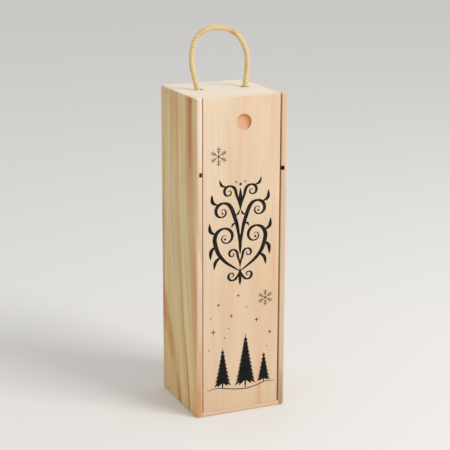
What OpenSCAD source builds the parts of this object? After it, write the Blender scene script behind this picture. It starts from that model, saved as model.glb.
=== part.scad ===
// Single-bottle wine box of thin pine boards, with a sliding lid and a rope handle.
// The box stands on its bottom board. The lid is the front face, and slides up out of its grooves.
// Origin: middle of the footprint, on the ground. +Z is up, the lid faces -Y, and +X is to its right.

/* [Box] */
// Outside width, across both side boards
box_w = 105; // [90:1:140]
// Outside depth, from the lid's face to the back
box_d = 102; // [92:1:130]
// Outside height, without the rope
box_h = 350; // [300:1:420]

/* [Boards] */
// Thickness of the two side boards
side_t = 7; // [6:0.5:12]
// Thickness of the top and bottom boards
end_t = 9; // [7:0.5:14]
// Thickness of the back panel
back_t = 7; // [4:0.5:12]
// Radius sanded on the long outer corners of the side boards
corner_r = 3; // [0.5:0.1:3.4]
// Radius sanded on the left side board's outer edges at the top and the bottom
left_rim_r = 2.2; // [0.4:0.1:5]
// Radius sanded on the right side board's outer edges at the top and the bottom, which are rounder
right_rim_r = 4.6; // [0.4:0.1:5]
// Radius sanded on the side boards' front edges at the top
brow_r = 1.6; // [0.4:0.1:3]
// Radius sanded on the outer edges of the top and bottom boards
rim_r = 1.8; // [0.4:0.1:3]
// Radius left on edges that are only broken with sandpaper
ease_r = 0.5; // [0.2:0.1:0.9]

/* [Sliding lid] */
// Thickness of the lid
lid_t = 8; // [6:0.5:12]
// Thickness of the tongue along each long edge of the lid
tongue_t = 3; // [2:0.5:5]
// Radius along the long edges of the lid's face
lid_edge_r = 0.9; // [0.4:0.1:2]
// Depth of the groove in each side board
groove_depth = 3.5; // [2:0.1:4.5]
// Gap that shows between the lid's face and the left side board
lid_gap_left = 0.8; // [0.4:0.1:2.5]
// Gap that shows between the lid's face and the right side board
lid_gap_right = 1.8; // [0.4:0.1:2.5]
// Play between a tongue and its groove, front and back
groove_play = 0.2; // [0.1:0.05:0.4]
// Play between the edge of a tongue and the bottom of its groove
tongue_play = 0.4; // [0.2:0.1:1]
// Play between the lid and the top board behind it
lid_back_play = 0.2; // [0.2:0.05:0.6]
// Height of the bottom board's lip below the lid
lip_h = 5; // [3:0.5:6]
// Diameter of the thumb recess
recess_d = 17.4; // [14:0.2:22]
// Depth of the thumb recess
recess_depth = 3; // [1.5:0.1:4]
// Radius between the wall and the floor of the thumb recess
recess_cove = 1.4; // [0.5:0.1:1.5]
// Distance from the lid's upper end to the middle of the thumb recess
recess_drop = 27.5; // [20:0.5:60]
// Distance of the thumb recess to the right of the lid's middle
recess_x = 1.5; // [-4:0.5:4]

/* [Neck rest] */
// Thickness of the neck rest
rest_t = 4; // [3:0.5:6]
// Distance from the top of the box to the middle of the neck rest
rest_drop = 80; // [60:0.5:110]
// Depth of the dado in each side board
dado_depth = 3.4; // [1.5:0.1:4]
// Play between the neck rest and its dado, above and below
dado_play = 0.15; // [0.05:0.05:0.4]
// Gap between the neck rest and the back of the lid
rest_setback = 0.8; // [0.4:0.1:3]
// Width of the slot for the bottle's neck
slot_w = 34; // [28:1:44]
// Diameter of the bottle, which lies against the back panel
bottle_d = 80; // [70:1:84]

/* [Rope handle] */
// Diameter of the rope
rope_d = 6; // [5:0.5:7]
// Diameter of the rope holes
hole_d = 10; // [8:0.5:12]
// Distance between the rope holes
hole_spacing = 53; // [46:1:64]
// Diameter of the stopper knots
knot_d = 14; // [12:0.5:16]
// Height of the stopper knots
knot_h = 12; // [9:0.5:12]
// Gap between a stopper knot and the edge of its hole
knot_play = 0.2; // [0.1:0.05:0.4]
// Length of the rope's end below a knot
tail_l = 7; // [3:1:12]
// Height above the top board at which the rope bends
bend_h = 5; // [4:0.5:8]
// Gap between the standing arch and a rope leg at the bend
bend_gap = 0.3; // [0.2:0.1:0.5]

/* [Brads] */
// Diameter of a brad's shank
brad_d = 1.4; // [1:0.1:2]
// Length of a brad
brad_l = 25; // [18:1:35]
// Diameter of a brad's head
brad_head_d = 2.4; // [2:0.1:3]
// Thickness of a brad's head
brad_head_t = 0.8; // [0.5:0.1:1.2]
// Depth of a brad's head below the board's surface
brad_set = 0.4; // [0.1:0.1:1]
// Play around a brad in its hole
brad_play = 0.05; // [0.02:0.01:0.1]
// Distance of the front brads from the front of the box
brad_front = 12; // [11:1:30]
// Distance of the rear brads in the top and bottom boards from the back of the box
brad_rear = 20; // [12:1:40]
// Number of brads down each long edge of the back panel
back_brads = 3; // [2:1:5]
// Distance from the ends of the back panel to its first brads
back_brad_inset = 50; // [20:1:80]

/* [Hidden] */
$fn = 48;
over = 1;                                   // how far a cutting tool runs past what it cuts

front_y = -box_d / 2;
back_y = box_d / 2;
inner_x = box_w / 2 - side_t;               // inner faces of the side boards
lid_back_y = front_y + lid_t;
tongue_front_y = lid_back_y - tongue_t;
board_front_y = lid_back_y + lid_back_play; // front of the top board and of the bottom board's rebate
panel_front_y = back_y - back_t;            // front face of the back panel
top_under_z = box_h - end_t;
rest_z = box_h - rest_drop;
rest_front_y = lid_back_y + rest_setback;
neck_y = panel_front_y - bottle_d / 2;      // the bottle's axis
hole_y = (board_front_y + back_y) / 2;      // the rope holes are in the middle of the top board
knot_bulge = knot_h / 2;                    // radius of a stopper knot's shoulder
knot_flat = knot_d / 2 - knot_bulge;        // where the shoulder starts, out from the rope's axis
knot_top_z = top_under_z - knot_play        // the shoulder is pulled up into the mouth of its hole
    + knot_bulge - sqrt(pow(knot_bulge, 2) - pow(hole_d / 2 - knot_flat, 2));
bend_z = box_h + bend_h;

pine_lid = "#E6C9A0";
pine_side = "#C9AF84";
pine_end = "#EBDFCA";
pine_rough = "#DEC39A";
rope_cream = "#E3CB8C";
steel = "#8E8A84";

// Middle of the rope's standing arch, as (x, height above the top board), from bend to bend.
// It is drawn for holes ARCH_SPAN apart, and grows or shrinks sideways with their distance.
ARCH_SPAN = 53;
ARCH_DRAWN = [
    [-28, 5], [-29.6, 9], [-31.2, 13.5], [-32.8, 18.5], [-34.1, 24], [-34.7, 30], [-34.7, 37], [-33.8, 44],
    [-31.8, 50], [-28.2, 56], [-23.5, 60.3], [-17.7, 63.2], [-11, 64.5], [-3.9, 64.5], [3, 63.5],
    [9.9, 61.3], [15.5, 57.9], [20.4, 53.3], [24.3, 47.4], [27.3, 41], [29, 34.5], [29.6, 27.5],
    [29.5, 21], [28.9, 15], [28.1, 9.5], [27.4, 5]
];
ARCH = [for (p = ARCH_DRAWN) [p[0] * hole_spacing / ARCH_SPAN, p[1]]];
// Angles of the rings that round off each foot of the arch, from its tip up
DOME = [80, 60, 40, 20];

// Waste outside a quarter round of radius r, for a corner at the origin whose board lies towards +X +Y.
module corner_waste(r) {
    difference() {
        translate([-over, -over]) square(r + over);
        translate([r, r]) circle(r);
    }
}

// Rectangle from lo to hi with a radius of its own at each corner: [low-low, high-low, high-high, low-high].
module eased_rect(lo, hi, radii) {
    difference() {
        translate(lo) square(hi - lo);
        if (radii[0] > 0) translate(lo) corner_waste(radii[0]);
        if (radii[1] > 0) translate([hi[0], lo[1]]) mirror([1, 0]) corner_waste(radii[1]);
        if (radii[2] > 0) translate(hi) rotate(180) corner_waste(radii[2]);
        if (radii[3] > 0) translate([lo[0], hi[1]]) mirror([0, 1]) corner_waste(radii[3]);
    }
}

// Board from lo to hi whose edges are rounded by the radii of its plan (X, Y), front (X, Z) and side (Y, Z).
module board(lo, hi, plan = [0, 0, 0, 0], front = [0, 0, 0, 0], side = [0, 0, 0, 0]) {
    intersection() {
        translate([0, 0, lo[2]]) linear_extrude(hi[2] - lo[2])
            eased_rect([lo[0], lo[1]], [hi[0], hi[1]], plan);
        translate([0, hi[1], 0]) rotate([90, 0, 0]) linear_extrude(hi[1] - lo[1])
            eased_rect([lo[0], lo[2]], [hi[0], hi[2]], front);
        translate([lo[0], 0, 0]) rotate([90, 0, 90]) linear_extrude(hi[0] - lo[0])
            eased_rect([lo[1], lo[2]], [hi[1], hi[2]], side);
    }
}

// Straight box from lo to hi, for tools that cut and for plain stock.
module block(lo, hi) {
    translate(lo) cube(hi - lo);
}

// Where the brads of one side board go, as [y, z].
back_span = box_h - 2 * end_t - 2 * back_brad_inset;
BRADS = concat(
    [for (z = [end_t / 2, box_h - end_t / 2], y = [front_y + brad_front, back_y - brad_rear]) [y, z]],
    [for (i = [0 : back_brads - 1])
        [back_y - back_t / 2, end_t + back_brad_inset + i * back_span / (back_brads - 1)]]
);

// One brad driven in +X through the left side board, or its hole when play is given.
module brad(play = 0) {
    head_x = -box_w / 2 + (play > 0 ? 0 : brad_set);
    head_end_x = -box_w / 2 + brad_set + brad_head_t + play;
    translate([head_x - (play > 0 ? over : 0), 0, 0]) rotate([0, 90, 0])
        cylinder(h = head_end_x - head_x + (play > 0 ? over : 0), d = brad_head_d + 2 * play);
    translate([head_end_x - play - 0.01, 0, 0]) rotate([0, 90, 0])
        cylinder(h = brad_l - brad_head_t + play + 0.01, d = brad_d + 2 * play);
}

module brads(play = 0) {
    for (at = BRADS) translate([0, at[0], at[1]]) brad(play);
}

module both_brad_holes() {
    brads(brad_play);
    mirror([1, 0, 0]) brads(brad_play);
}

// Side board, as on the left: groove for the lid near the front, dado for the neck rest, both cut right through.
module side_board(outer_r) {
    difference() {
        board([-box_w / 2, front_y, 0], [-inner_x, back_y, box_h],
            plan = [corner_r, ease_r, ease_r, corner_r],
            front = [outer_r, 0, 0, outer_r],
            side = [ease_r, ease_r, ease_r, brow_r]);
        block([-inner_x - groove_depth, tongue_front_y - groove_play, -over],
            [-inner_x + over, lid_back_y + groove_play, box_h + over]);
        block([-inner_x - dado_depth, front_y - over, rest_z - rest_t / 2 - dado_play],
            [-inner_x + over, back_y + over, rest_z + rest_t / 2 + dado_play]);
        brads(brad_play);
    }
}

module left_side() {
    color(pine_side) side_board(left_rim_r);
}

module right_side() {
    color(pine_side) mirror([1, 0, 0]) side_board(right_rim_r);
}

// The back panel closes the frame from inside, flush with the backs of the other boards.
module back_panel() {
    color(pine_rough) difference() {
        board([-inner_x, panel_front_y, end_t], [inner_x, back_y, top_under_z],
            plan = [0, 0, ease_r, ease_r],
            side = [0, ease_r, ease_r, 0]);
        both_brad_holes();
    }
}

// The top board ends behind the lid, which slides up past it.
module top_board() {
    color(pine_end) difference() {
        board([-inner_x, board_front_y, top_under_z], [inner_x, back_y, box_h],
            side = [0, ease_r, rim_r, 0]);
        for (x = [-1, 1] * hole_spacing / 2)
            translate([x, hole_y, top_under_z - over]) cylinder(h = end_t + 2 * over, d = hole_d);
        both_brad_holes();
    }
}

// The bottom board reaches the front, and its rebate takes the lid's lower end.
module bottom_board() {
    color(pine_rough) difference() {
        board([-inner_x, front_y, 0], [inner_x, back_y, end_t],
            side = [rim_r, rim_r, ease_r, 0]);
        block([-inner_x - over, front_y - over, lip_h], [inner_x + over, board_front_y, end_t + over]);
        both_brad_holes();
    }
}

// Round-nosed cutter for the thumb recess, which points into the lid from its face.
module thumb_cutter() {
    flat_r = recess_d / 2 - recess_cove;
    translate([recess_x, front_y, box_h - recess_drop]) rotate([-90, 0, 0]) rotate_extrude() {
        translate([0, -over]) square([recess_d / 2, recess_depth - recess_cove + over]);
        square([flat_r, recess_depth]);
        intersection() {
            translate([flat_r, recess_depth - recess_cove]) circle(recess_cove);
            square([recess_d, recess_depth]);
        }
    }
}

// Sliding lid: a face that fills the front, and behind it a tongue along each long edge.
module lid() {
    tongue_x = inner_x + groove_depth - tongue_play;
    color(pine_lid) difference() {
        union() {
            board([lid_gap_left - inner_x, front_y, lip_h], [inner_x - lid_gap_right, lid_back_y, box_h],
                plan = [lid_edge_r, lid_edge_r, 0, 0],
                side = [ease_r, 0, 0, ease_r]);
            board([-tongue_x, tongue_front_y, lip_h], [tongue_x, lid_back_y, box_h],
                front = [ease_r, ease_r, ease_r, ease_r]);
        }
        thumb_cutter();
    }
}

// Neck rest: a thin board in the dados, with a slot that opens towards the lid and ends in a half round.
module neck_rest() {
    rest_x = inner_x + dado_depth - 2 * dado_play;
    low_z = rest_z - rest_t / 2;
    color(pine_rough) difference() {
        board([-rest_x, rest_front_y, low_z], [rest_x, panel_front_y, low_z + rest_t],
            plan = [ease_r, ease_r, ease_r, ease_r]);
        translate([0, neck_y, low_z - over]) cylinder(h = rest_t + 2 * over, d = slot_w);
        block([-slot_w / 2, rest_front_y - over, low_z - over], [slot_w / 2, neck_y, low_z + rest_t + over]);
    }
}

module left_brads() {
    color(steel) brads();
}

module right_brads() {
    color(steel) mirror([1, 0, 0]) brads();
}

// Direction of a line of points at its point i.
function along(pts, i) =
    let (a = pts[max(i - 1, 0)], b = pts[min(i + 1, len(pts) - 1)]) (b - a) / norm(b - a);

// Round tube along points in the plane of X and Z, with a radius of its own at each point.
module tube(pts, radii, sides = 12) {
    n = len(pts);
    rings = [for (i = [0 : n - 1]) let (t = along(pts, i)) for (k = [0 : sides - 1])
        let (across = radii[i] * cos(360 * k / sides), depth = radii[i] * sin(360 * k / sides))
        [pts[i][0] + across * t[1], depth, pts[i][1] - across * t[0]]];
    skin = [for (i = [0 : n - 2], k = [0 : sides - 1]) let (j = (k + 1) % sides)
        [i * sides + k, (i + 1) * sides + k, (i + 1) * sides + j, i * sides + j]];
    caps = [[for (k = [0 : sides - 1]) k], [for (k = [sides - 1 : -1 : 0]) (n - 1) * sides + k]];
    polyhedron(points = rings, faces = concat(skin, caps), convexity = 6);
}

// The standing arch of rope, which folds forwards and backwards about the line through its two feet.
// Each foot ends in a dome about that line, so it turns above its leg without touching it.
module rope_arch() {
    r = rope_d / 2;
    last = len(ARCH) - 1;
    left_dome = [for (a = DOME) ARCH[0] - [0, r * sin(a)]];
    right_dome = [for (i = [len(DOME) - 1 : -1 : 0]) ARCH[last] - [0, r * sin(DOME[i])]];
    dome_r = [for (a = DOME) r * cos(a)];
    dome_r_back = [for (i = [len(DOME) - 1 : -1 : 0]) dome_r[i]];
    color(rope_cream) translate([0, hole_y, box_h])
        tube(concat(left_dome, ARCH, right_dome), concat(dome_r, [for (p = ARCH) r], dome_r_back));
}

// Rope in a hole of the top board, from its knot to just under the bend.
module rope_leg(x) {
    top_z = bend_z - rope_d / 2 - bend_gap;
    color(rope_cream) translate([x, hole_y, knot_top_z]) cylinder(h = top_z - knot_top_z, d = rope_d);
}

// Stopper knot pulled up into the mouth of its hole, with the cut end below it.
module rope_knot(x) {
    color(rope_cream) translate([x, hole_y, knot_top_z - knot_bulge]) {
        rotate_extrude() {
            intersection() {
                translate([knot_flat, 0]) circle(knot_bulge);
                translate([0, -knot_bulge]) square([knot_d, knot_h]);
            }
            translate([0, -knot_bulge]) square([knot_flat, knot_h]);
        }
        translate([0, 0, -knot_bulge - tail_l]) cylinder(h = tail_l + 0.5, d = rope_d);
    }
}

module rope_leg_left() {
    rope_leg(-hole_spacing / 2);
}

module rope_leg_right() {
    rope_leg(hole_spacing / 2);
}

module rope_knot_left() {
    rope_knot(-hole_spacing / 2);
}

module rope_knot_right() {
    rope_knot(hole_spacing / 2);
}

left_side();
right_side();
back_panel();
top_board();
bottom_board();
lid();
neck_rest();
left_brads();
right_brads();
rope_arch();
rope_leg_left();
rope_leg_right();
rope_knot_left();
rope_knot_right();
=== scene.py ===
import math

import bmesh
import bpy
from mathutils import Matrix, Vector
from mathutils.geometry import interpolate_bezier


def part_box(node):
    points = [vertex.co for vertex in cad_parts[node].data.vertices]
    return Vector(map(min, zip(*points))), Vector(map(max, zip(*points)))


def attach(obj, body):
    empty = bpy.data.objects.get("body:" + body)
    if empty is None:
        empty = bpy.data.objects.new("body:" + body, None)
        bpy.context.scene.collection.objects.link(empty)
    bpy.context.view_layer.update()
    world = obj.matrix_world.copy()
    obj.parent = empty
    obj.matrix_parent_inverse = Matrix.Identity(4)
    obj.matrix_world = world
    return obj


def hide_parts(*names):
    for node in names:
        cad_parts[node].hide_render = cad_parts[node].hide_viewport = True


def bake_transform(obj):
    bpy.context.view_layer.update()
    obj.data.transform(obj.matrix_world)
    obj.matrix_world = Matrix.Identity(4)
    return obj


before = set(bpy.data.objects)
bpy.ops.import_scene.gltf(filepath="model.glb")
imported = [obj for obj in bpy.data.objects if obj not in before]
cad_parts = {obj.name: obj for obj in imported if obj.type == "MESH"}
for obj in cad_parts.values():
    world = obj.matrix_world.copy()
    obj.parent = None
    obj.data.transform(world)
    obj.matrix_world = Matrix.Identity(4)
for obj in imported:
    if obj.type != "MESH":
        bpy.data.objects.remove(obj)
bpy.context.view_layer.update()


# ---- Left and right side boards -------------------------------------------------------------
# Sanded, unfinished pine, 7 mm thick, sawn along the grain so that the growth rings stand upright.
# They carry the lid's grooves and the neck rest's dados. The left one is streaked with heartwood.

MM = 0.001
FRONT_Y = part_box("left_side")[0][1]
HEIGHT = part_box("left_side")[1][2]


def linear(colour):
    """The linear RGBA value of an sRGB hex colour."""
    channels = [int(colour[i:i + 2], 16) / 255 for i in (1, 3, 5)]
    curve = [c / 12.92 if c <= 0.04045 else ((c + 0.055) / 1.055) ** 2.4 for c in channels]
    return (*curve, 1.0)


def add_node(tree, kind, inputs=None, out=0, **settings):
    """Adds a node with its settings, gives each input a value or a link, and returns one output."""
    node = tree.nodes.new("ShaderNode" + kind)
    for name, value in settings.items():
        setattr(node, name, value)
    for socket, value in (inputs or {}).items():
        if isinstance(value, bpy.types.NodeSocket):
            tree.links.new(value, node.inputs[socket])
        else:
            node.inputs[socket].default_value = value
    return node.outputs[out]


def new_material(name):
    """An empty node material, with its tree and the shader that its output shows."""
    material = bpy.data.materials.new(name)
    material.use_nodes = True
    return material, material.node_tree, material.node_tree.nodes["Principled BSDF"]


def along_height(tree, height, points, low=0.0, span=1.0):
    """A value on a smooth curve through (millimetres up the box, value) points.

    The points' values lie between low and low + span.
    """
    spots = sorted((z * MM / HEIGHT, (value - low) / span) for z, value in points)
    curve_node = add_node(tree, "FloatCurve", {"Value": height}).node
    curve = curve_node.mapping.curves[0]
    curve.points[0].location = spots[0]
    curve.points[1].location = spots[-1]
    for spot in spots[1:-1]:
        curve.points.new(*spot)
    for point in curve.points:
        point.handle_type = "AUTO_CLAMPED"
    curve_node.mapping.update()
    return add_node(tree, "Math", {0: curve_node.outputs[0], 1: span, 2: low}, operation="MULTIPLY_ADD")


STREAK_REACH = 110          # millimetres that a streak's place or the grain's lean can be from zero


def streak(colour, half, route, strength, core=0.15, axis="X", zero=0.0):
    """A streak of a colour, twice half wide: its place and strength follow (height, value) points.

    Its place is measured in millimetres along the axis, from zero. It is even over the share core
    of its width, and fades from there to its rims.
    """
    return {"colour": colour, "half": half, "route": route, "strength": strength, "core": core,
            "axis": axis, "zero": zero}


def streaked(tree, colour, mark, spot, height, sway, mottle):
    """The colour with one streak over it, which runs up the board and sways a little."""
    middle = along_height(tree, height, mark["route"], -STREAK_REACH, 2 * STREAK_REACH)
    strength = along_height(tree, height, mark["strength"])
    aside = add_node(tree, "Math", {0: spot[mark["axis"]], 1: 1 / MM, 2: -mark["zero"]},
                     operation="MULTIPLY_ADD")
    aside = add_node(tree, "Math", {0: aside, 1: middle}, operation="SUBTRACT")
    aside = add_node(tree, "Math", {0: aside, 1: sway}, operation="ADD")
    aside = add_node(tree, "Math", {0: aside}, operation="ABSOLUTE")
    inside = add_node(tree, "MapRange", {"Value": aside, "From Min": mark["core"] * mark["half"],
                                         "From Max": mark["half"], "To Min": 1.0, "To Max": 0.0},
                      interpolation_type="SMOOTHSTEP")
    amount = add_node(tree, "Math", {0: inside, 1: strength}, operation="MULTIPLY")
    amount = add_node(tree, "Math", {0: amount, 1: mottle}, operation="MULTIPLY", use_clamp=True)
    return add_node(tree, "Mix", {"Factor": amount, "A": colour, "B": linear(mark["colour"])},
                    out=2, data_type="RGBA")


# Sizes of the wood's patterns, in millimetres across the grain and along it
RING_STRAY = 18             # a trunk is never quite round or straight, so its rings wander by so much
STRAY_WIDE = 60
STRAY_LONG = 300
YEARS_WIDE = 12             # over which wide rings give way to narrow ones
YEARS_PUSH = 10
FIBRE_WIDE = 0.6            # coarser than real fibres, so that they show
FIBRE_LONG = 30
BAND_WIDE = 4
BAND_LONG = 180
PATCH_LONG = 120
SWAY = 7                    # of a streak's place from side to side
BOARDS_APART = 400          # up the trunk, between one seed's board and the next
PINE_RELIEF = 0.08 * MM


def pine(name, pith, cream, blush, late, ring, figure, turn=(0, 0, 0), ends="#E6D9C6", edges=None,
         broad=18, lean=(), streaks=(), edge_streaks=(), seed=0, roughness=0.6):
    """Sanded pine as a solid: growth rings about a pith line, fibres along it, heartwood and painted-shade
    streaks.

    The grain runs along Z after the turn. The pith's place across it, the rings' spacing and the
    blushing patches' breadth are in millimetres. figure says how strongly the dark latewood shows,
    and lean how far the grain strays along Y, by height.
    """
    material, tree, shader = new_material(name)
    place = add_node(tree, "TexCoord", out="Object")
    facing = add_node(tree, "TexCoord", out="Normal")
    facing = add_node(tree, "VectorMath", {0: facing}, operation="ABSOLUTE")
    facing = add_node(tree, "SeparateXYZ", {0: facing}).node.outputs
    spot = add_node(tree, "SeparateXYZ", {0: place}).node.outputs
    height = add_node(tree, "Math", {0: spot["Z"], 1: HEIGHT}, operation="DIVIDE")
    if lean:
        stray = along_height(tree, height, lean, -STREAK_REACH, 2 * STREAK_REACH)
        stray = add_node(tree, "Math", {0: stray, 1: -MM}, operation="MULTIPLY")
        stray = add_node(tree, "CombineXYZ", {"Y": stray})
        stood = add_node(tree, "VectorMath", {0: place, 1: stray}, operation="ADD")
    else:
        stood = place
    grain = add_node(tree, "Mapping", {"Vector": stood, "Rotation": turn, "Scale": (1 / MM,) * 3,
                                       "Location": (-pith[0], -pith[1], BOARDS_APART * seed)})

    slow = add_node(tree, "Mapping", {"Vector": grain,
                                      "Scale": (1 / STRAY_WIDE, 1 / STRAY_WIDE, 1 / STRAY_LONG)})
    wander = add_node(tree, "TexNoise", {"Vector": slow, "Scale": 1.0, "Detail": 2.0, "Roughness": 0.45},
                      out="Color")
    wander = add_node(tree, "VectorMath", {0: wander, 1: (0.5, 0.5, 0.5)}, operation="SUBTRACT")
    wander = add_node(tree, "VectorMath", {0: wander, 1: (RING_STRAY, RING_STRAY, 0)},
                      operation="MULTIPLY")
    warped = add_node(tree, "VectorMath", {0: grain, 1: wander}, operation="ADD")
    across = add_node(tree, "VectorMath", {0: warped, 1: (1, 1, 0)}, operation="MULTIPLY")
    radius = add_node(tree, "VectorMath", {0: across}, out="Value", operation="LENGTH")

    # Good and bad years: rings are wide or narrow, and their latewood is dark or faint, by turns.
    years = add_node(tree, "TexNoise", {"W": radius, "Scale": 1 / YEARS_WIDE, "Detail": 1.0},
                     noise_dimensions="1D")
    phase = add_node(tree, "Math", {0: years, 1: YEARS_PUSH, 2: radius}, operation="MULTIPLY_ADD")
    phase = add_node(tree, "Math", {0: phase, 1: ring}, operation="DIVIDE")
    within = add_node(tree, "Math", {0: phase}, operation="FRACT")
    year = add_node(tree, "Math", {0: phase}, operation="FLOOR")
    dark_year = add_node(tree, "TexWhiteNoise", {"W": year}, noise_dimensions="1D")
    dark_year = add_node(tree, "MapRange", {"Value": dark_year, "To Min": 0.15, "To Max": 1.0})
    rise = add_node(tree, "MapRange", {"Value": within, "From Min": 0.2, "From Max": 0.85},
                    interpolation_type="SMOOTHSTEP")
    fall = add_node(tree, "MapRange", {"Value": within, "From Min": 0.85, "From Max": 1.0, "To Min": 1.0,
                                       "To Max": 0.0}, interpolation_type="SMOOTHSTEP")
    latewood = add_node(tree, "Math", {0: rise, 1: fall}, operation="MULTIPLY")
    latewood = add_node(tree, "Math", {0: latewood, 1: dark_year}, operation="MULTIPLY")

    thread = add_node(tree, "Mapping", {"Vector": warped,
                                        "Scale": (1 / FIBRE_WIDE, 1 / FIBRE_WIDE, 1 / FIBRE_LONG)})
    fibre = add_node(tree, "TexNoise", {"Vector": thread, "Scale": 1.0, "Detail": 3.0,
                                        "Roughness": 0.6})
    band = add_node(tree, "Mapping", {"Vector": warped,
                                      "Scale": (1 / BAND_WIDE, 1 / BAND_WIDE, 1 / BAND_LONG)})
    bands = add_node(tree, "TexNoise", {"Vector": band, "Scale": 1.0, "Detail": 3.0,
                                        "Roughness": 0.55})
    patch = add_node(tree, "Mapping", {"Vector": warped,
                                       "Scale": (1 / broad, 1 / broad, 1 / PATCH_LONG)})
    patches = add_node(tree, "TexNoise", {"Vector": patch, "Scale": 1.0, "Detail": 2.0})

    # Cream sapwood, blushing in broad upright patches, with darker latewood lines over it.
    blushing = add_node(tree, "MapRange", {"Value": patches, "From Min": 0.36, "From Max": 0.66},
                        interpolation_type="SMOOTHSTEP")
    colour = add_node(tree, "Mix", {"Factor": blushing, "A": linear(cream), "B": linear(blush)}, out=2,
                      data_type="RGBA")
    sway = add_node(tree, "Math", {0: bands, 1: SWAY, 2: -SWAY / 2}, operation="MULTIPLY_ADD")
    mottle = add_node(tree, "MapRange", {"Value": bands, "From Min": 0.35, "From Max": 0.65,
                                         "To Min": 0.65, "To Max": 1.15})
    for mark in streaks:
        colour = streaked(tree, colour, mark, spot, height, sway, mottle)
    if edges:
        # The narrow front edges have two tones of their own, one near the top and one below.
        near_top = add_node(tree, "MapRange", {"Value": height, "From Min": 0.68, "From Max": 0.92},
                            interpolation_type="SMOOTHSTEP")
        edge = add_node(tree, "Mix", {"Factor": near_top, "A": linear(edges[1]), "B": linear(edges[0])},
                        out=2, data_type="RGBA")
        on_edge = add_node(tree, "MapRange", {"Value": facing["Y"], "From Min": 0.5, "From Max": 0.95,
                                              "To Max": 0.85}, interpolation_type="SMOOTHSTEP")
        colour = add_node(tree, "Mix", {"Factor": on_edge, "A": colour, "B": edge}, out=2,
                          data_type="RGBA")
    for mark in edge_streaks:
        colour = streaked(tree, colour, mark, spot, height, sway, mottle)
    tint = add_node(tree, "Math", {0: latewood, 1: figure}, operation="MULTIPLY")
    colour = add_node(tree, "Mix", {"Factor": tint, "A": colour, "B": linear(late)}, out=2,
                      data_type="RGBA")

    # Faces that look up or down, the sawn ends among them, are paler: partly painted highlight.
    on_end = add_node(tree, "MapRange", {"Value": facing["Z"], "From Min": 0.4, "From Max": 0.9,
                                         "To Max": 0.75}, interpolation_type="SMOOTHSTEP")
    colour = add_node(tree, "Mix", {"Factor": on_end, "A": colour, "B": linear(ends)}, out=2,
                      data_type="RGBA")

    # Fibres and fine bands make the tone uneven.
    uneven = add_node(tree, "Math", {0: fibre, 1: bands}, operation="ADD")
    uneven = add_node(tree, "MapRange", {"Value": uneven, "From Min": 0.6, "From Max": 1.4,
                                         "To Min": 0.92, "To Max": 1.07})
    colour = add_node(tree, "VectorMath", {0: colour, "Scale": uneven}, operation="SCALE")
    tree.links.new(colour, shader.inputs["Base Color"])

    rough = add_node(tree, "MapRange", {"Value": fibre, "From Min": 0.3, "From Max": 0.7,
                                        "To Min": roughness - 0.07, "To Max": roughness + 0.1})
    tree.links.new(rough, shader.inputs["Roughness"])
    relief = add_node(tree, "Math", {0: latewood, 1: 0.35, 2: fibre}, operation="MULTIPLY_ADD")
    bump = add_node(tree, "Bump", {"Height": relief, "Strength": 0.5, "Distance": PINE_RELIEF})
    tree.links.new(bump, shader.inputs["Normal"])
    return material, tree, shader


def clad(node, material):
    """Gives a board of the frame its material in place of the plain one."""
    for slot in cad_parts[node].material_slots:
        slot.material = material


def face_streak(colour, half, route, strength, core=0.15):
    """A streak on the outer face of a side board, whose place is measured from the front edge."""
    return streak(colour, half, route, strength, core, "Y", FRONT_Y / MM)


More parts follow.
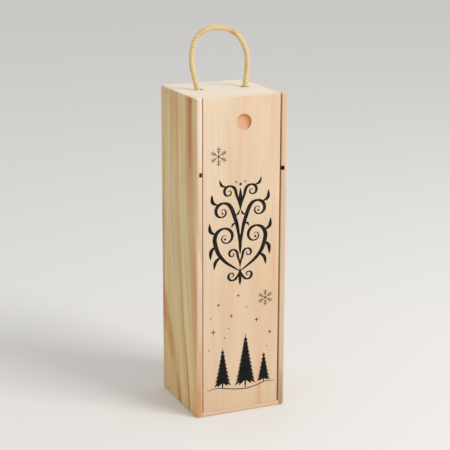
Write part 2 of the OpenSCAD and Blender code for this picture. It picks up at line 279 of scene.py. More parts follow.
LEFT_STREAKS = [
    # Yellower wood over the lower half, and paler bands that lean forwards as they go down
    face_streak("#D8B26E", 70, [(350, 50), (0, 50)], [(350, 0), (130, 0), (70, 0.3), (0, 0.4)], 0.5),
    face_streak("#E9DBA6", 5.5, [(350, 45), (250, 43), (200, 40), (140, 33), (90, 27), (50, 18), (0, 11)],
                [(350, 0.45), (250, 0.55), (50, 0.5), (25, 0.15), (0, 0)], 0.4),
    face_streak("#D6BCA0", 16, [(350, 70), (0, 66)],
                [(350, 0), (290, 0.15), (260, 0.4), (215, 0.3), (185, 0.1), (150, 0.15), (110, 0),
                 (0, 0)]),
    face_streak("#E2D19E", 10, [(350, 84), (250, 80), (160, 72), (60, 48), (0, 40)],
                [(350, 0.1), (250, 0.4), (200, 0.6), (120, 0.5), (40, 0.35), (0, 0.2)], 0.3),
    # Orange heartwood down the front edge, with a brown core near the top and a thin line behind it
    face_streak("#C76922", 10, [(350, 17.5), (285, 16), (230, 12), (190, 10), (150, 7), (80, 2), (0, 3)],
                [(350, 0.85), (315, 0.8), (280, 0.6), (262, 0.4), (225, 0.4), (190, 0.5), (150, 0.5),
                 (100, 0.4), (70, 0.3), (25, 0.25), (0, 0.6)], 0.4),
    face_streak("#96410F", 3.5, [(350, 15), (285, 15), (0, 0)],
                [(350, 0.7), (300, 0.6), (265, 0.2), (230, 0), (0, 0)]),
    face_streak("#B06F34", 4, [(350, 28), (280, 27), (200, 21), (140, 14), (0, 0)],
                [(350, 0.45), (300, 0.45), (275, 0.25), (200, 0.35), (140, 0.2), (0, 0)]),
    # Two short flames near the top
    face_streak("#DA8642", 6, [(350, 57), (290, 56), (0, 48)],
                [(350, 0.2), (335, 0.65), (298, 0.55), (270, 0.15), (240, 0), (0, 0)]),
    face_streak("#C79A55", 9, [(350, 68), (250, 68), (0, 60)],
                [(350, 0.6), (300, 0.45), (265, 0.15), (240, 0), (0, 0)]),
    # A thin line that darkens towards the foot, the brown back edge, and flames low down behind
    face_streak("#A9682E", 3.4, [(350, 53), (250, 52), (200, 50), (140, 44), (90, 37), (50, 28), (0, 20)],
                [(350, 0.1), (250, 0.2), (180, 0.3), (100, 0.45), (50, 0.7), (0, 0.9)]),
    face_streak("#BE8C4E", 9, [(350, 99), (0, 99)],
                [(350, 0.1), (240, 0.3), (200, 0.8), (110, 0.8), (80, 0.6), (45, 0.1), (0, 0.05)], 0.4),
    face_streak("#C87833", 18, [(350, 102), (130, 99), (100, 92), (75, 80), (55, 71), (30, 61), (0, 52)],
                [(350, 0), (145, 0), (118, 0.55), (92, 0.85), (60, 0.75), (35, 0.3), (0, 0.1)]),
    face_streak("#AC6E36", 6, [(350, 62), (60, 62), (0, 49)],
                [(350, 0), (60, 0), (25, 0.55), (0, 0.85)]),
]
LEFT_EDGE_STREAKS = [
    streak("#CB8A5C", 4, [(350, -47), (120, -48), (0, -48.5)],
           [(350, 0), (170, 0), (110, 0.15), (60, 0.7), (0, 0.95)]),
]
# Painted shade: the right board's front edge darkens towards its foot
RIGHT_FOOT_SHADE = [
    streak("#A27C5C", 6, [(350, 48), (0, 48)], [(350, 0), (60, 0.1), (30, 0.6), (0, 0.9)]),
]
# Yellowish pine with orange heartwood on the left, and plainer, pinker pine on the right
left_pine, left_tree, left_shader = pine(
    "sanded_pine_side_left", pith=(20, -150), cream="#E0CA92", blush="#D8B785", late="#B98A50",
    edges=("#EADCCA", "#DCC3AB"), ends="#EFE5D6", ring=6.5, figure=0.35, streaks=LEFT_STREAKS,
    edge_streaks=LEFT_EDGE_STREAKS, lean=[(350, 0), (250, 0), (170, -6), (90, -16), (0, -26)])
right_pine, right_tree, right_shader = pine(
    "sanded_pine_side_right", pith=(-30, 160), cream="#DDC8AA", blush="#D6B593", late="#BC8F60",
    edges=("#D2B392", "#CFB090"), ends="#CFC0AC", ring=6.0, figure=0.35, seed=1,
    edge_streaks=RIGHT_FOOT_SHADE, lean=[(350, 8), (200, 3), (100, 0), (0, 0)])

# The dados are painted dark brown as painted shade inside them: the right one nearly black.
DADO_SHADE_BROWN = "#8E4420"
DADO_SHADE_BLACK = "#48200E"
DADO_SHADE_UP = 0.25 * MM         # how far the painted shade reaches past the faces of the neck rest
DADO_SHADE_OUT = 0.4 * MM         # and past its ends
rest_low, rest_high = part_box("neck_rest")
dado_z = (rest_low[2] + rest_high[2]) / 2
dado_half = (rest_high[2] - rest_low[2]) / 2 + DADO_SHADE_UP
dado_reach = rest_high[0] + DADO_SHADE_OUT
for tree, shader, dado_shade in ((left_tree, left_shader, DADO_SHADE_BROWN),
                           (right_tree, right_shader, DADO_SHADE_BLACK)):
    unshaded = shader.inputs["Base Color"].links[0].from_socket
    place = add_node(tree, "TexCoord", out="Object")
    spot = add_node(tree, "SeparateXYZ", {0: place}).node.outputs
    level = add_node(tree, "Math", {0: spot["Z"], 1: dado_z, 2: dado_half}, operation="COMPARE")
    inward = add_node(tree, "Math", {0: spot["X"], 1: 0.0, 2: dado_reach}, operation="COMPARE")
    shaded_dado = add_node(tree, "Math", {0: level, 1: inward}, operation="MULTIPLY")
    # Painted shade in the dado band, dark brown on the left and nearly black on the right
    shaded_dado = add_node(tree, "Mix", {"Factor": shaded_dado, "A": unshaded, "B": linear(dado_shade)}, out=2,
                     data_type="RGBA")
    tree.links.new(shaded_dado, shader.inputs["Base Color"])
clad("left_side", left_pine)
clad("right_side", right_pine)


# ---- Back panel and bottom board ------------------------------------------------------------
# Planed pine that is left as it comes, a little rougher and yellower than the sanded boards.
# The panel is 7 mm thick with upright grain. The 9 mm bottom board has its grain from side to side.

QUARTER = math.radians(90)
GRAIN_ALONG_X = (0, -QUARTER, 0)
panel_pine, _, _ = pine("planed_pine_panel", pith=(14, 120), cream="#E2CCA2", blush="#DBB88A",
                        late="#BE8B54", ring=4.5, figure=0.45, seed=2, roughness=0.68)
clad("back_panel", panel_pine)
bottom_pine, _, _ = pine("planed_pine_bottom", pith=(60, -20), turn=GRAIN_ALONG_X, cream="#D8BD9C",
                         blush="#D3B191", late="#C39763", ring=5.0, figure=0.3, seed=3, roughness=0.66)
clad("bottom_board", bottom_pine)


# ---- Neck rest ------------------------------------------------------------------------------
# Thin planed pine with a U-shaped slot for the bottle's neck, pushed into the dados of both sides.
# Its grain runs from side to side, and its ends are painted as brown as the dados, as painted shade.

rest_pine, rest_tree, rest_shader = pine(
    "planed_pine_rest", pith=(-90, 30), turn=GRAIN_ALONG_X, cream="#E3CDA6", blush="#DAB98E",
    late="#BE8F5B", ring=4.0, figure=0.4, seed=4, roughness=0.68)
inside_half = -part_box("left_side")[1][0]
# Painted shade: the rest's ends, where they sit in the dados, take the dados' brown
planed = rest_shader.inputs["Base Color"].links[0].from_socket
place = add_node(rest_tree, "TexCoord", out="Object")
outward = add_node(rest_tree, "SeparateXYZ", {0: place}).node.outputs["X"]
outward = add_node(rest_tree, "Math", {0: outward}, operation="ABSOLUTE")
in_dado = add_node(rest_tree, "Math", {0: outward, 1: inside_half}, operation="GREATER_THAN")
rest_colour = add_node(rest_tree, "Mix", {"Factor": in_dado, "A": planed, "B": linear(DADO_SHADE_BROWN)},
                       out=2, data_type="RGBA")
rest_tree.links.new(rest_colour, rest_shader.inputs["Base Color"])
clad("neck_rest", rest_pine)


# ---- Top board ------------------------------------------------------------------------------
# Sanded pine between the side boards, paler than the rest, with two holes drilled for the rope.
# Its grain runs from side to side, so its long lines cross the box.

top_pine, _, _ = pine("sanded_pine_top", pith=(-420, -160), turn=GRAIN_ALONG_X, cream="#E8DCCA",
                      blush="#E5D3BC", late="#D6BD9C", ends="#E8DCC8", ring=5.5, figure=0.35, seed=5)
clad("top_board", top_pine)


# ---- Brads ----------------------------------------------------------------------------------
# Bright drawn steel pins, driven through the sides and set just below the surface.
# The wire is drawn and the head struck, so the steel is smooth with faint scratches.

SCRATCH_WIDE = 0.3 * MM     # coarser than real ones, so that they show
brad_steel, steel_tree, steel = new_material("drawn_steel")
steel.inputs["Base Color"].default_value = linear("#A8947A")
steel.inputs["Metallic"].default_value = 1.0
steel_place = add_node(steel_tree, "TexCoord", out="Object")
scratches = add_node(steel_tree, "TexNoise", {"Vector": steel_place, "Scale": 1 / SCRATCH_WIDE})
scratches = add_node(steel_tree, "MapRange", {"Value": scratches, "To Min": 0.4, "To Max": 0.6})
steel_tree.links.new(scratches, steel.inputs["Roughness"])
clad("left_brads", brad_steel)
clad("right_brads", brad_steel)


# ---- Rope -----------------------------------------------------------------------------------
# One round braided cotton rope, 6 mm thick. It comes up out of both holes and stands as an arch,
# because it is stiff, and it leans a little to the left. Its ends are knotted under the top board.

TOP_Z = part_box("top_board")[1][2]
HOLE_Y = sum(corner[1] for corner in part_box("rope_leg_left")) / 2
HOLE_X = sum(corner[0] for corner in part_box("rope_leg_right")) / 2
ROPE_RADIUS = 3.0 * MM
# Middle of the rope in millimetres: (x, height above the top board), from one knot to the other
ROPE_ROUTE = [
    (-26.5, -15), (-26.1, -9), (-26.9, -4), (-28.2, 0), (-29.4, 5), (-30.5, 9), (-31.6, 13.5),
    (-32.9, 18.5), (-34.1, 24), (-34.7, 30), (-34.7, 37), (-33.8, 44), (-31.8, 50), (-28.2, 56),
    (-23.5, 60.3), (-17.7, 63.2), (-11, 64.5), (-3.9, 64.5), (3, 63.5), (9.9, 61.3), (15.5, 57.9),
    (20.4, 53.3), (24.3, 47.4), (27.3, 41), (29, 34.5), (29.6, 27.5), (29.5, 21), (28.9, 15),
    (28.1, 9.5), (27.4, 5), (26.9, 0), (26.6, -4), (26.4, -9), (26.5, -15),
]
STRAND_PAIRS = 3            # strands that wind each way round the rope
BRAID_PITCH = 2.6 * MM      # length of rope to a stitch: real ones are 1.8 mm, too fine to show
BRAID_DEPTH = 0.7 * MM
YARN_WIDE = 0.3125          # millimetres, as are the three below
STAIN_LONG = 14
RUBBED_AT = 118             # along the rope
RUBBED_HALF = 9
YARN_RELIEF = 0.15 * MM
RING_STEP = 0.25 * MM       # between two rings of the rope's mesh
ROPE_SIDES = 60


def smooth_route(points, step):
    """Points about a step apart on the smooth curve through the given points."""
    points = [Vector(p) for p in points]
    dense = [points[0]]
    last = len(points) - 1
    for i in range(last):
        before, after = points[max(i - 1, 0)], points[min(i + 2, last)]
        start, end = points[i], points[i + 1]
        handle, next_handle = start + (end - before) / 6, end - (after - start) / 6
        dense += interpolate_bezier(start, handle, next_handle, end, 24)[1:]
    reached = [0.0]
    for a, b in zip(dense, dense[1:]):
        reached.append(reached[-1] + (b - a).length)
    count = round(reached[-1] / step)
    even, i = [], 0
    for k in range(count + 1):
        goal = reached[-1] * k / count
        while i < len(dense) - 2 and reached[i + 1] < goal:
            i += 1
        share = (goal - reached[i]) / (reached[i + 1] - reached[i])
        even.append(dense[i].lerp(dense[i + 1], min(share, 1.0)))
    return even


def braid_lift(turn, length):
    """How high the braid stands, from 0 between the strands to 1 on them, and which way they run."""
    one_way = turn * STRAND_PAIRS + length / BRAID_PITCH
    other_way = turn * STRAND_PAIRS - length / BRAID_PITCH
    over = (math.floor(one_way) + math.floor(other_way)) % 2 == 0
    across, along = (one_way % 1, other_way % 1) if over else (other_way % 1, one_way % 1)
    lift = (1 - (2 * across - 1) ** 4) * (1 - 0.75 * (2 * along - 1) ** 2)
    return lift, over


def braided_rope(name, spots, radius, side=Vector((0, 1, 0))):
    """A mesh rope along spots: a grid rolled into a tube, with the braid's strands raised on it."""
    rope_mesh = bpy.data.meshes.new(name)
    bm = bmesh.new()
    uv = bm.loops.layers.uv.new("braid")
    lift_layer = bm.verts.layers.float.new("strand_lift")
    way_layer = bm.verts.layers.float.new("strand_way")
    rings = len(spots) - 1
    bmesh.ops.create_grid(bm, x_segments=ROPE_SIDES, y_segments=rings, size=0.5, calc_uvs=True)
    frames, reached, length = [], [], 0.0
    for i, spot in enumerate(spots):
        direction = (spots[min(i + 1, rings)] - spots[max(i - 1, 0)]).normalized()
        side = (side - direction * side.dot(direction)).normalized()
        length += (spot - spots[i - 1]).length if i else 0.0
        frames.append((spot, side, direction.cross(side)))
        reached.append(length)
    for vert in bm.verts:
        turn = vert.co.x + 0.5
        i = round((vert.co.y + 0.5) * rings)
        lift, over = braid_lift(turn, reached[i])
        spot, side, other_side = frames[i]
        angle = 2 * math.pi * turn
        out = side * math.cos(angle) + other_side * math.sin(angle)
        vert.co = spot + out * (radius - BRAID_DEPTH * (1 - lift))
        vert[lift_layer] = lift
        vert[way_layer] = float(over)
    for face in bm.faces:
        face.smooth = True
        for loop in face.loops:
            loop[uv].uv = (loop[uv].uv.x * 2 * math.pi * radius / MM, loop[uv].uv.y * length / MM)
    bmesh.ops.remove_doubles(bm, verts=bm.verts, dist=0.001 * MM)
    open_ends = [edge for edge in bm.edges if edge.is_boundary]
    bmesh.ops.holes_fill(bm, edges=open_ends, sides=ROPE_SIDES)
    bmesh.ops.recalc_face_normals(bm, faces=bm.faces)
    bm.to_mesh(rope_mesh)
    bm.free()
    rope = bpy.data.objects.new(name, rope_mesh)
    bpy.context.collection.objects.link(rope)
    return rope, length


# Cotton yarn: soft and matt, creamy yellow, with painted shade in the crevices, a faint painted sheen on
# the strands that run one way, and a slight fuzz at the rim.
rope_cotton, rope_tree, cotton = new_material("braided_cotton")
rope_uv = add_node(rope_tree, "UVMap", uv_map="braid")
lift_value = add_node(rope_tree, "Attribute", out="Fac", attribute_name="strand_lift")
way_value = add_node(rope_tree, "Attribute", out="Fac", attribute_name="strand_way")
yarn = add_node(rope_tree, "TexNoise", {"Vector": rope_uv, "Scale": 1 / YARN_WIDE, "Detail": 3.0,
                                        "Roughness": 0.65})
stain = add_node(rope_tree, "TexNoise", {"Vector": rope_uv, "Scale": 1 / STAIN_LONG, "Detail": 2.0})
stain = add_node(rope_tree, "MapRange", {"Value": stain, "From Min": 0.42, "From Max": 0.68},
                 interpolation_type="SMOOTHSTEP")
stain = add_node(rope_tree, "Math", {0: stain, 1: 0.6}, operation="MULTIPLY")
rope_colour = add_node(rope_tree, "Mix", {"Factor": stain, "A": linear("#EDD6A0"),
                                          "B": linear("#DEB77B")}, out=2, data_type="RGBA")
# A hand has rubbed one place near the top of the arch a deeper orange.
rope_way = add_node(rope_tree, "SeparateXYZ", {0: rope_uv}).node.outputs
rubbed = add_node(rope_tree, "Math", {0: rope_way["Y"], 1: RUBBED_AT}, operation="SUBTRACT")
rubbed = add_node(rope_tree, "Math", {0: rubbed}, operation="ABSOLUTE")
rubbed = add_node(rope_tree, "MapRange", {"Value": rubbed, "From Min": 0.0, "From Max": RUBBED_HALF,
                                          "To Min": 0.55, "To Max": 0.0},
                  interpolation_type="SMOOTHSTEP")
rope_colour = add_node(rope_tree, "Mix", {"Factor": rubbed, "A": rope_colour, "B": linear("#D79C4E")},
                       out=2, data_type="RGBA")
# Painted shade: the crevices between the strands are dark brown
raised = add_node(rope_tree, "MapRange", {"Value": lift_value, "From Min": 0.05, "From Max": 0.6},
                  interpolation_type="SMOOTHSTEP")
rope_colour = add_node(rope_tree, "Mix", {"Factor": raised, "A": linear("#80592A"), "B": rope_colour},
                       out=2, data_type="RGBA")
# Painted sheen: strands that run one way are a little lighter
sheen_tone = add_node(rope_tree, "MapRange", {"Value": way_value, "To Min": 0.93, "To Max": 1.05})
yarn_tone = add_node(rope_tree, "MapRange", {"Value": yarn, "From Min": 0.3, "From Max": 0.7,
                                             "To Min": 0.86, "To Max": 1.1})
rope_tone = add_node(rope_tree, "Math", {0: sheen_tone, 1: yarn_tone}, operation="MULTIPLY")
rope_colour = add_node(rope_tree, "VectorMath", {0: rope_colour, "Scale": rope_tone}, operation="SCALE")
rope_tree.links.new(rope_colour, cotton.inputs["Base Color"])
cotton.inputs["Roughness"].default_value = 0.85
cotton.inputs["Sheen Weight"].default_value = 0.25
cotton.inputs["Sheen Roughness"].default_value = 0.5
rope_bump = add_node(rope_tree, "Bump", {"Height": yarn, "Strength": 0.6, "Distance": YARN_RELIEF})
rope_tree.links.new(rope_bump, cotton.inputs["Normal"])

rope_spots = smooth_route([(x * MM, HOLE_Y, TOP_Z + z * MM) for x, z in ROPE_ROUTE], RING_STEP)
rope, rope_length = braided_rope("braided_rope", rope_spots, ROPE_RADIUS)
rope.data.materials.append(rope_cotton)
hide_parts("rope_arch", "rope_leg_left", "rope_leg_right")
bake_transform(rope)


# ---- Stopper knots --------------------------------------------------------------------------
# Each end of the rope is tied in a double overhand knot, pulled up tight against the top board.
# Two wraps of rope, squeezed thinner than the rest, go round the end, whose cut tip hangs below.

KNOT_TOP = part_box("top_board")[0][2] - 0.1 * MM
KNOT_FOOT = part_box("rope_knot_left")[0][2]
WRAP_RADIUS = 2.35 * MM     # of the squeezed rope
WRAP_TURNS = 2.3
WRAP_REACH = 4.6 * MM       # from the knot's axis to the middle of a wrap
WRAP_FALL = 2.05 * WRAP_RADIUS      # from one turn to the next, so that they lie side by side
WRAP_POINTS = 10            # points of the route in one turn


def knot_route(x):
    """Route of a knot's rope: wraps that wind down round the axis, turn in under it and hang down."""
    count = round(WRAP_TURNS * WRAP_POINTS)
    top = KNOT_TOP - WRAP_RADIUS
    low = top - WRAP_FALL * count / WRAP_POINTS
    wound = [(i, WRAP_REACH, top - WRAP_FALL * i / WRAP_POINTS) for i in range(count + 1)]
    turn_in = (count + 2.5, 0.55 * WRAP_REACH, low - 0.6 * WRAP_RADIUS)
    route = []
    for i, reach, z in wound + [turn_in]:
        angle = 2 * math.pi * i / WRAP_POINTS
        route.append((x + reach * math.cos(angle), HOLE_Y + reach * math.sin(angle), z))
    route.append((x, HOLE_Y, low - 1.9 * WRAP_RADIUS))
    route.append((x, HOLE_Y, KNOT_FOOT))
    return route


for side_name, x in (("left", -HOLE_X), ("right", HOLE_X)):
    spots = smooth_route(knot_route(x), RING_STEP)
    knot, _ = braided_rope("stopper_knot_" + side_name, spots, WRAP_RADIUS, side=Vector((0, 0, 1)))
    knot.data.materials.append(rope_cotton)
    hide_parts("rope_knot_" + side_name)
    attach(knot, "box")


# ---- Sliding lid ----------------------------------------------------------------------------
# One flat-sawn pine board, sanded, with soft upright figure, and a thumb recess that is bored into
# its face. The recess is painted a deeper orange than the face round it, as painted shade in it.

LID_STREAKS = [
    # The whole lid darkens a little towards its foot as painted shade, and is creamier at its upper left
    streak("#CBA67C", 60, [(350, 0), (0, 0)],
           [(350, 0), (180, 0), (150, 0.12), (55, 0.12), (25, 0.3), (0, 0.45)], core=0.8),
    streak("#EAD9C2", 20, [(350, -32), (0, -32)],
           [(350, 0.35), (265, 0.35), (235, 0.15), (200, 0), (0, 0)], core=0.5),
    streak("#D2AE84", 22, [(350, 26), (0, 26)],
           [(350, 0), (230, 0.1), (190, 0.35), (140, 0.35), (105, 0.15), (0, 0.05)], core=0.5),
    # Faint pinkish streaks down from the recess and on the right, and a tan one at the foot
    streak("#DDA67F", 7, [(350, 4), (300, -2), (0, -10)],
           [(350, 0.35), (310, 0.25), (270, 0.1), (0, 0.05)]),
    streak("#DDA67F", 6, [(350, 37), (250, 35), (0, 38)],
           [(350, 0.4), (315, 0.25), (285, 0.05), (0, 0)]),
    streak("#DBA077", 5, [(350, 30), (180, 36), (120, 39), (0, 38)],
           [(350, 0), (200, 0.1), (170, 0.4), (130, 0.35), (100, 0.1), (0, 0)]),
    streak("#D0935C", 4, [(350, 20), (60, 22), (0, 22)],
           [(350, 0), (80, 0.05), (40, 0.4), (0, 0.6)]),
]
lid_pine, lid_tree, lid_shader = pine(
    "sanded_pine_lid", pith=(-6, 44), cream="#DDC5A6", blush="#D9BC9D", late="#C59870", ring=3.4,
    figure=0.16, broad=26, streaks=LID_STREAKS, seed=6)
lid_colour = lid_shader.inputs["Base Color"].links[0].from_socket
lid_place = add_node(lid_tree, "TexCoord", out="Object")
lid_spot = add_node(lid_tree, "SeparateXYZ", {0: lid_place}).node.outputs

# Painted shade turns the recess orange wherever the face is sunk, most of all at its upper right.
RECESS_RADIUS = 8.7 * MM
RECESS_X = 1.5 * MM
RECESS_DROP = 27.5 * MM     # of its middle below the lid's upper end
RECESS_MARGIN = 0.1 * MM    # by which the painted shade may pass the bored circle
RECESS_SHADE_FROM = 0.1 * MM     # depths at which the painted shade begins and is full
RECESS_SHADE_FULL = 0.8 * MM
BLOTCH = 5 * MM
BLOTCH_STRAY = 12 * MM      # by which the blotches shift the rim of the darker part
recess_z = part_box("lid")[1][2] - RECESS_DROP
from_recess = add_node(lid_tree, "VectorMath", {0: lid_place, 1: (RECESS_X, FRONT_Y, recess_z)},
                       operation="SUBTRACT")
from_recess = add_node(lid_tree, "SeparateXYZ", {0: from_recess}).node.outputs
sunk = add_node(lid_tree, "MapRange", {"Value": from_recess["Y"], "From Min": RECESS_SHADE_FROM,
                                       "From Max": RECESS_SHADE_FULL})
flat_out = add_node(lid_tree, "CombineXYZ", {"X": from_recess["X"], "Z": from_recess["Z"]})
out_from = add_node(lid_tree, "VectorMath", {0: flat_out}, out="Value", operation="LENGTH")
in_recess = add_node(lid_tree, "Math", {0: out_from, 1: RECESS_RADIUS + RECESS_MARGIN},
                     operation="LESS_THAN")
recess_shade = add_node(lid_tree, "Math", {0: sunk, 1: in_recess}, operation="MULTIPLY")
recess_shade = add_node(lid_tree, "Math", {0: recess_shade, 1: 0.85}, operation="MULTIPLY")
upper_right = add_node(lid_tree, "Math", {0: from_recess["X"], 1: from_recess["Z"]}, operation="ADD")
blotches = add_node(lid_tree, "TexNoise", {"Vector": lid_place, "Scale": 1 / BLOTCH, "Detail": 3.0})
blotches = add_node(lid_tree, "Math", {0: blotches, 1: BLOTCH_STRAY, 2: -BLOTCH_STRAY / 2},
                    operation="MULTIPLY_ADD")
upper_right = add_node(lid_tree, "Math", {0: upper_right, 1: blotches}, operation="ADD")
upper_right = add_node(lid_tree, "MapRange", {"Value": upper_right, "From Min": -4.5 * MM,
                                              "From Max": 3.5 * MM}, interpolation_type="SMOOTHSTEP")
# Painted shade: pale orange at the recess's lower left, deeper orange at its upper right
recess_shade_colour = add_node(lid_tree, "Mix", {"Factor": upper_right, "A": linear("#D3A884"),
                                   "B": linear("#D6945C")}, out=2, data_type="RGBA")
lid_colour = add_node(lid_tree, "Mix", {"Factor": recess_shade, "A": lid_colour, "B": recess_shade_colour}, out=2,
                      data_type="RGBA")

# The tongues stand back from the face. The right one is painted brown as painted shade, and the
# left one is painted pale as painted light, but for a painted shadow where it crosses the dado.
TONGUE_DROP = 5.0 * MM      # of the tongues' fronts behind the lid's face
TONGUE_PLAY = 0.5 * MM      # so that the tongues' whole front is found
TONGUE_FROM = 43.6 * MM     # from the middle of the lid
front_level = add_node(lid_tree, "Math", {0: from_recess["Y"], 1: TONGUE_DROP, 2: TONGUE_PLAY},
                       operation="COMPARE")
outward = add_node(lid_tree, "Math", {0: lid_spot["X"]}, operation="ABSOLUTE")
outward = add_node(lid_tree, "Math", {0: outward, 1: TONGUE_FROM}, operation="GREATER_THAN")
on_tongue = add_node(lid_tree, "Math", {0: front_level, 1: outward}, operation="MULTIPLY")
beside_dado = add_node(lid_tree, "Math", {0: lid_spot["Z"], 1: dado_z, 2: dado_half},
                       operation="COMPARE")
# Painted light: the left tongue is pale, with a painted shadow beside the dado
left_tongue_light_and_shade = add_node(lid_tree, "Mix", {"Factor": beside_dado, "A": linear("#F0C8AE"),
                                         "B": linear("#B4612F")}, out=2, data_type="RGBA")
on_right = add_node(lid_tree, "Math", {0: lid_spot["X"], 1: 0.0}, operation="GREATER_THAN")
# Painted shade: the right tongue is brown
tongue = add_node(lid_tree, "Mix", {"Factor": on_right, "A": left_tongue_light_and_shade, "B": linear("#93684A")},
                  out=2, data_type="RGBA")
lid_colour = add_node(lid_tree, "Mix", {"Factor": on_tongue, "A": lid_colour, "B": tongue}, out=2,
                      data_type="RGBA")
lid_tree.links.new(lid_colour, lid_shader.inputs["Base Color"])
clad("lid", lid_pine)


# ---- Print on the lid -----------------------------------------------------------------------
# Black ink, printed on the bare wood of the lid: a mirrored scroll ornament drawn with a broad pen,
# fir trees, and fine snowflakes. The film of ink is thin, and its edges stand just above the wood.

INK_LIFT = 0.05 * MM        # of the lowest stroke's surface above the wood
INK_STEP = 0.002 * MM       # strokes lie at some levels this far apart, so that they never coincide
INK_LEVELS = 19
INK_SINK = 0.06 * MM        # how far the film reaches into the wood
INK_BLACK = "#060505"
PEN_STEP = 0.6              # millimetres


def new_ink():
    """An empty mesh for ink shapes, which are drawn flat on the lid's face."""
    bm = bmesh.new()
    bm.loops.layers.uv.new("stroke")
    return bm


def pen_line(bm, route, broad, fine, peak=0.5, mirror=None):
    """One stroke of a broad pen, in millimetres: a strip of grid, bent along (x, z) points.

    It is fine at its ends and broad at the share peak of its length, most of all where it is
    upright. mirror is the place of the upright axis that it is mirrored about.
    """
    spots = smooth_route([(x, 0, z) for x, z in route], PEN_STEP)
    count = len(spots) - 1
    lift = INK_LIFT + INK_STEP * (len(bm.verts) % INK_LEVELS)
    uv = bm.loops.layers.uv["stroke"]
    strip = bmesh.ops.create_grid(bm, x_segments=count, y_segments=2, size=0.5, calc_uvs=True)
    for vert in strip["verts"]:
        share = vert.co.x + 0.5
        i = round(share * count)
        direction = (spots[min(i + 1, count)] - spots[max(i - 1, 0)]).normalized()
        swelling = math.sin(math.pi * share ** (math.log(0.5) / math.log(peak))) ** 0.8
        half = (fine + (broad - fine) * swelling * (0.45 + 0.55 * abs(direction.z))) / 2
        spot = spots[i] + Vector((-direction.z, 0, direction.x)) * (2 * vert.co.y * half)
        if mirror is not None:
            spot.x = 2 * mirror - spot.x
        vert.co = Vector((spot.x * MM, FRONT_Y - lift, spot.z * MM))
    for face in {face for vert in strip["verts"] for face in vert.link_faces}:
        for loop in face.loops:
            loop[uv].uv = (loop[uv].uv.x * count * PEN_STEP, loop[uv].uv.y * broad)


def both_ways(bm, route, broad, fine, peak, middle=0, height=0):
    """A stroke and its mirror image, on a route that is measured from (middle, height) on the axis."""
    moved = [(middle + x, height + z) for x, z in route]
    pen_line(bm, moved, broad, fine, peak)
    pen_line(bm, moved, broad, fine, peak, mirror=middle)


def blot(bm, x, z, radius):
    """A round dot of ink."""
    place = Matrix.Translation((x * MM, FRONT_Y - INK_LIFT, z * MM))
    bmesh.ops.create_circle(bm, cap_ends=True, radius=radius * MM, segments=20,
                            matrix=place @ Matrix.Rotation(QUARTER, 4, "X"))


def printed(name, bm, ink):
    """Turns flat ink shapes on the lid's face into thin closed films that ride on the lid."""
    flat = bmesh.ops.extrude_face_region(bm, geom=bm.faces[:], use_keep_orig=True)
    sunk_verts = [part for part in flat["geom"] if isinstance(part, bmesh.types.BMVert)]
    for vert in sunk_verts:
        vert.co.y = FRONT_Y + INK_SINK
    bmesh.ops.recalc_face_normals(bm, faces=bm.faces)
    mesh = bpy.data.meshes.new(name)
    bm.to_mesh(mesh)
    bm.free()
    piece = bpy.data.objects.new(name, mesh)
    bpy.context.collection.objects.link(piece)
    piece.data.materials.append(ink)
    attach(piece, "lid")


# Black ink, nearly matt, with grey streaks along each stroke where the broad pen ran dry.
DRY_LONG = 14               # millimetres along the stroke
DRY_WIDE = 0.5              # and across it
black_ink, ink_tree, ink_shader = new_material("black_printing_ink")
stroke_uv = add_node(ink_tree, "UVMap", uv_map="stroke")
stretched = add_node(ink_tree, "Mapping", {"Vector": stroke_uv, "Scale": (1 / DRY_LONG, 1 / DRY_WIDE, 1.0)})
dry = add_node(ink_tree, "TexNoise", {"Vector": stretched, "Scale": 1.0, "Detail": 3.0})
dry = add_node(ink_tree, "MapRange", {"Value": dry, "From Min": 0.54, "From Max": 0.68},
               interpolation_type="SMOOTHSTEP")
ink_colour = add_node(ink_tree, "Mix", {"Factor": dry, "A": linear(INK_BLACK), "B": linear("#3E3A38")},
                      out=2, data_type="RGBA")
ink_tree.links.new(ink_colour, ink_shader.inputs["Base Color"])
# The fine lines and the firs are printed solid, with no grey in them.
solid_ink, _, solid_shader = new_material("black_printing_ink_solid")
solid_shader.inputs["Base Color"].default_value = linear(INK_BLACK)
for shader in (ink_shader, solid_shader):
    shader.inputs["Roughness"].default_value = 0.6
    shader.inputs["Specular IOR Level"].default_value = 0.2

# The scroll ornament is symmetrical about an upright axis. Its strokes end in volutes and leaves.
SCROLL_X = -2
SCROLL_Z = 206
SCROLL_SIZE = 0.86          # of the ornament, against the numbers below


def polar(x, z, reach, degrees):
    """The place that is reach away from (x, z) at an angle."""
    angle = math.radians(degrees)
    return x + reach * math.cos(angle), z + reach * math.sin(angle)


def volute(x, z, radius, begin, turns):
    """Points of a spiral in towards (x, z) from an angle in degrees, anticlockwise if turns > 0."""
    count = round(abs(turns) * 10)
    points = []
    for i in range(count + 1):
        reach = radius * (0.12 + 0.88 * (1 - i / count) ** 1.15)
        points.append(polar(x, z, reach, begin + 360 * turns * i / count))
    return points


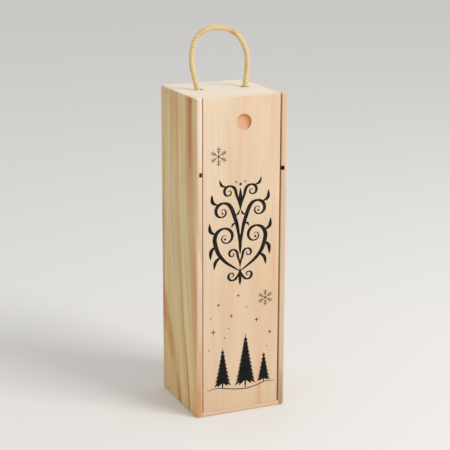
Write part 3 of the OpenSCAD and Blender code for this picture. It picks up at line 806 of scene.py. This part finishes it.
scroll = new_ink()
for route, broad, peak in (
    ([(0, -52), (9, -46), (20, -38), (29, -27), (33.5, -14)] + volute(20, -7, 14, 5, 1.4), 5.6, 0.4),
    ([(1, -20), (2, -6), (4.5, 8), (8, 19)] + volute(24, 26, 12.5, 165, -1.45), 5.4, 0.45),
    ([(0, 27), (2.5, 38), (5, 45)] + volute(15.5, 50, 8.8, 160, -1.35), 4.2, 0.5),
    ([(0, -48), (1, -54)] + volute(11, -57, 7, 205, 1.3), 3.8, 0.45),
    ([(0, -47), (1, -39), (3, -33)] + volute(10.5, -29, 6.6, 165, -1.25), 3.6, 0.5),
):
    both_ways(scroll, route, broad, 0.45, peak)
for route, broad in (
    ([(33.5, -17), (39, -23), (40, -34)], 5.0),
    ([(26, -31), (33, -37), (35, -47)], 4.8),
    ([(33, -2), (40, 3), (41, 13)], 5.0),
    ([(30, 35), (37, 39), (38, 49)], 4.8),
    ([(19, 57), (25, 59), (28, 66)], 4.0),
    ([(4, 9), (9, 9.5), (12, 5)], 3.6),
    ([(8, 20), (3, 22), (1, 27)], 3.0),
):
    both_ways(scroll, route, broad, 0.2, 0.4)
for low, high, broad in ((26, 54, 5.0), (-70, -53, 4.2), (-30, -4, 4.2)):
    pen_line(scroll, [(0, low), (0, (low + high) / 2), (0, high)], broad, 0.3)
for x, z, radius in ((0, 59, 1.7), (6, 62, 1.1), (-6, 62, 1.1), (24, 24, 1.4), (-24, 24, 1.4),
                     (20.5, -9, 1.5), (-20.5, -9, 1.5)):
    blot(scroll, x, z, radius)
scroll_place = Matrix.Translation((SCROLL_X * MM, 0, SCROLL_Z * MM))
enlarge = Matrix.Diagonal((SCROLL_SIZE, 1, SCROLL_SIZE, 1))
bmesh.ops.transform(scroll, verts=scroll.verts, matrix=scroll_place @ enlarge)
printed("scroll_print", scroll, black_ink)

# Two fine six-armed snowflakes, one above the scrolls and one below.
flakes = new_ink()
for x, z, reach in ((-27, 288, 10.5), (28, 128, 9.5)):
    for bearing in range(30, 390, 60):
        half_way = polar(x, z, reach / 2, bearing)
        tip = polar(x, z, reach, bearing)
        pen_line(flakes, [(x, z), half_way, tip], 0.8, 0.45)
        for share, twig in ((0.42, 0.26), (0.66, 0.3)):
            root = polar(x, z, reach * share, bearing)
            for turn in (-55, 55):
                pen_line(flakes, [root, polar(*root, reach * twig, bearing + turn)], 0.65, 0.4)
    blot(flakes, x, z, 1.0)
printed("snowflake_print", flakes, solid_ink)

# Three firs of unlike height on a line of snow, with small stars over them. A tier of a fir is a
# pair of drooping boughs with a shorter pair over it, and the tiers narrow towards the tip.
TIER_STEP = 5.2             # millimetres
firs = new_ink()
for x, foot, tall, wide in ((-22, 30, 46, 19), (5, 27, 62, 24), (27, 31, 34, 15)):
    pen_line(firs, [(x, foot), (x, foot + tall / 2), (x, foot + tall)], 2.6, 0.5, 0.35)
    tiers = round(tall / TIER_STEP)
    for tier in range(tiers):
        share = tier / (tiers - 1)
        reach = wide / 2 * (1 - 0.84 * share)
        level = foot + tall * (0.2 + 0.7 * share)
        drop = 0.62 * reach + 0.6
        both_ways(firs, [(0, 1.6), (0.5 * reach, -0.3 * drop), (reach, -drop)],
                  2.6 + 0.22 * reach, 0.3, 0.3, x, level)
        both_ways(firs, [(0, 0.8), (0.35 * reach, -0.5 * drop), (0.62 * reach, -1.05 * drop)],
                  2.6 + 0.2 * reach, 0.3, 0.3, x, level)
pen_line(firs, [(-40, 29), (-28, 31), (-12, 28), (4, 26), (18, 28), (30, 31), (40, 30)], 1.6, 0.4)
for x, z, size in ((-33, 96, 3.4), (-12, 112, 2.6), (-27, 126, 2.2), (18, 104, 2.8), (34, 88, 2.4),
                   (-4, 134, 2.0)):
    pen_line(firs, [(x, z - size), (x, z + size)], 0.9, 0.15)
    pen_line(firs, [(x - size, z), (x + size, z)], 1.6, 0.15)
for x, z in ((-38, 76), (-20, 88), (30, 72), (6, 120), (-36, 112), (-15, 98)):
    blot(firs, x, z, 0.7)
printed("fir_print", firs, solid_ink)


# ---- Floor, light and camera ----------------------------------------------------------------
# A plain pale floor, one large soft lamp from the right, in front and above, and an even sky.

FLOOR_RADIUS = 30.0
bm = bmesh.new()
bmesh.ops.create_circle(bm, cap_ends=True, radius=FLOOR_RADIUS, segments=96)
floor_mesh = bpy.data.meshes.new("floor")
bm.to_mesh(floor_mesh)
bm.free()
floor = bpy.data.objects.new("floor", floor_mesh)
bpy.context.collection.objects.link(floor)
# Matt white board, which takes the soft shadow and shows no gloss
floor_paint, _, floor_shader = new_material("matt_white_board")
floor_shader.inputs["Base Color"].default_value = linear("#E4E2DF")
floor_shader.inputs["Roughness"].default_value = 0.9
floor.data.materials.append(floor_paint)

world = bpy.data.worlds.new("studio")
bpy.context.scene.world = world
world.use_nodes = True
sky = world.node_tree.nodes["Background"]
sky.inputs["Color"].default_value = linear("#FFFFFF")
sky.inputs["Strength"].default_value = 0.72

LAMP_PLACE = Vector((1.15, -1.55, 1.75))
LAMP_TARGET = Vector((0, 0, 0.2))
lamp = bpy.data.lights.new("softbox", "AREA")
lamp.shape = "SQUARE"
lamp.size = 1.1
lamp.energy = 36
softbox = bpy.data.objects.new("softbox", lamp)
softbox.location = LAMP_PLACE
softbox.rotation_euler = (LAMP_TARGET - LAMP_PLACE).to_track_quat("-Z", "Y").to_euler()
bpy.context.collection.objects.link(softbox)

CAMERA_PLACE = Vector((-0.5543, -1.2865, 0.5755))
CAMERA_YAW = math.radians(23.40)
CAMERA_PITCH = math.radians(15.03)
CAMERA_ROLL = math.radians(0.174)
lens = bpy.data.cameras.new("camera")
lens.lens = 105.9
lens.sensor_width = 36.0
camera = bpy.data.objects.new("camera", lens)
camera.matrix_world = (Matrix.Translation(CAMERA_PLACE) @ Matrix.Rotation(-CAMERA_YAW, 4, "Z")
                       @ Matrix.Rotation(QUARTER - CAMERA_PITCH, 4, "X")
                       @ Matrix.Rotation(CAMERA_ROLL, 4, "Z"))
bpy.context.collection.objects.link(camera)
bpy.context.scene.camera = camera
bpy.context.scene.view_settings.view_transform = "Standard"
